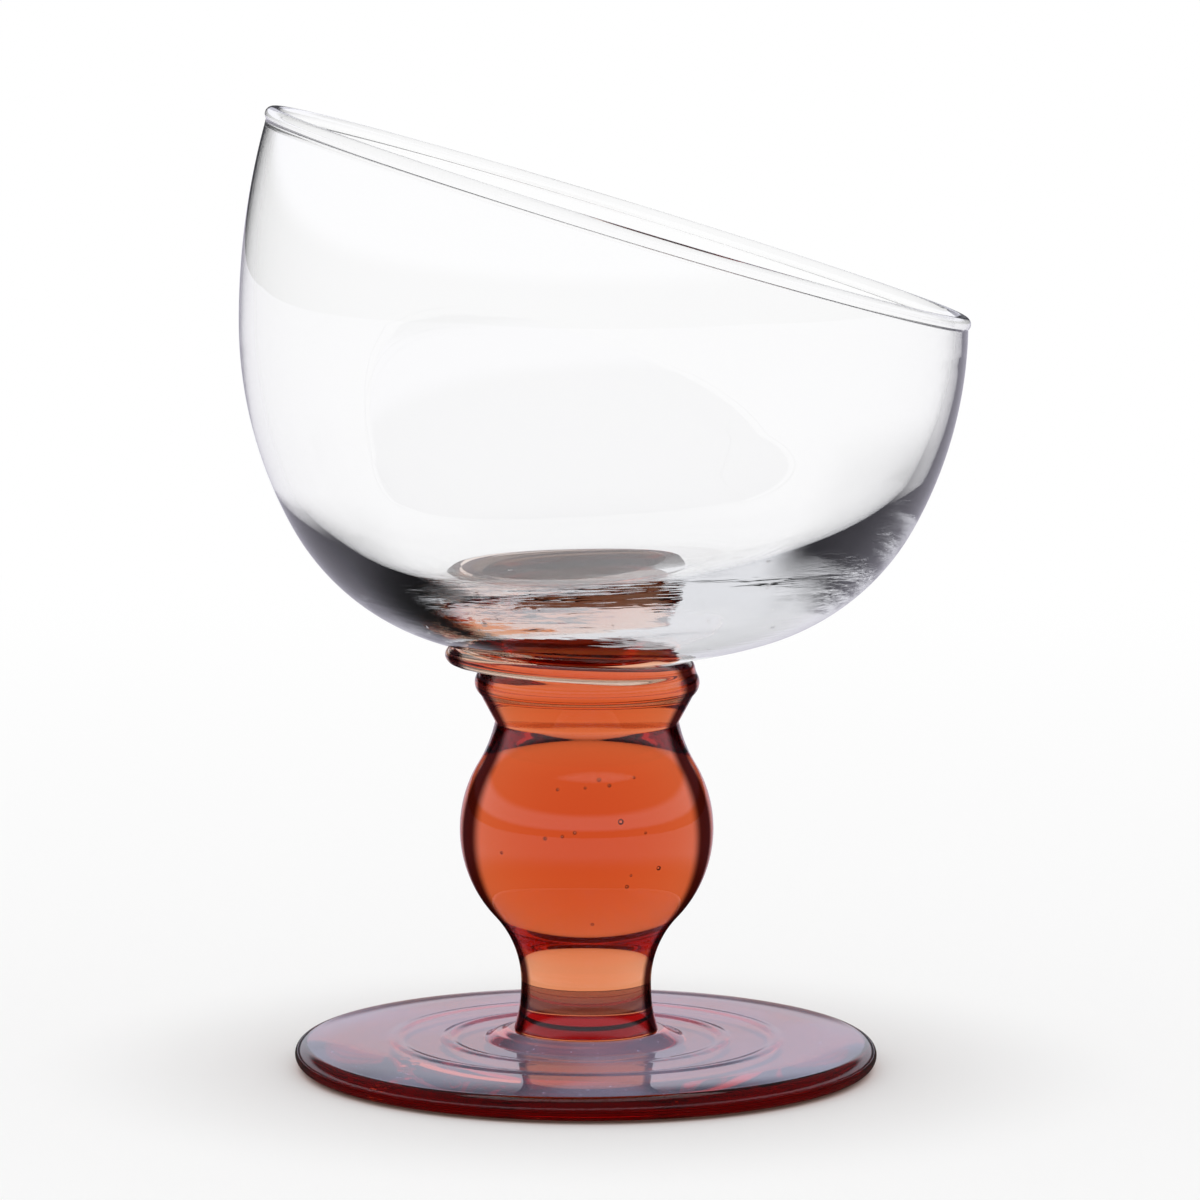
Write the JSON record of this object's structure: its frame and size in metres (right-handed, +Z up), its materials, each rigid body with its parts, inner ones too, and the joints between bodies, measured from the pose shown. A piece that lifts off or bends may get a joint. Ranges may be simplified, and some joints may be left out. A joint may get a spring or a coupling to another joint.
{
  "type": "ice cream glass",
  "caption": "Footed ice cream glass: a clear round bowl cut at a slant with a beaded rim, on an amber stem with a ball knop, a collar and a merese, and a broad amber disc foot.",
  "frame": {"origin": "middle of the foot's resting face", "axes": "+Z up along the stem's axis, -X towards the rim's high side, -Y towards the viewer of the picture"},
  "size_m": [0.11, 0.1096, 0.1456],
  "materials": {
    "clear_glass": "clear blown glass, fire polished",
    "amber_glass": "transparent orange-red amber glass, fire polished"
  },
  "bodies": {
    "root": {"bowl": "clear_glass", "stem": "amber_glass", "foot": "amber_glass"}
  },
  "joints": []
}
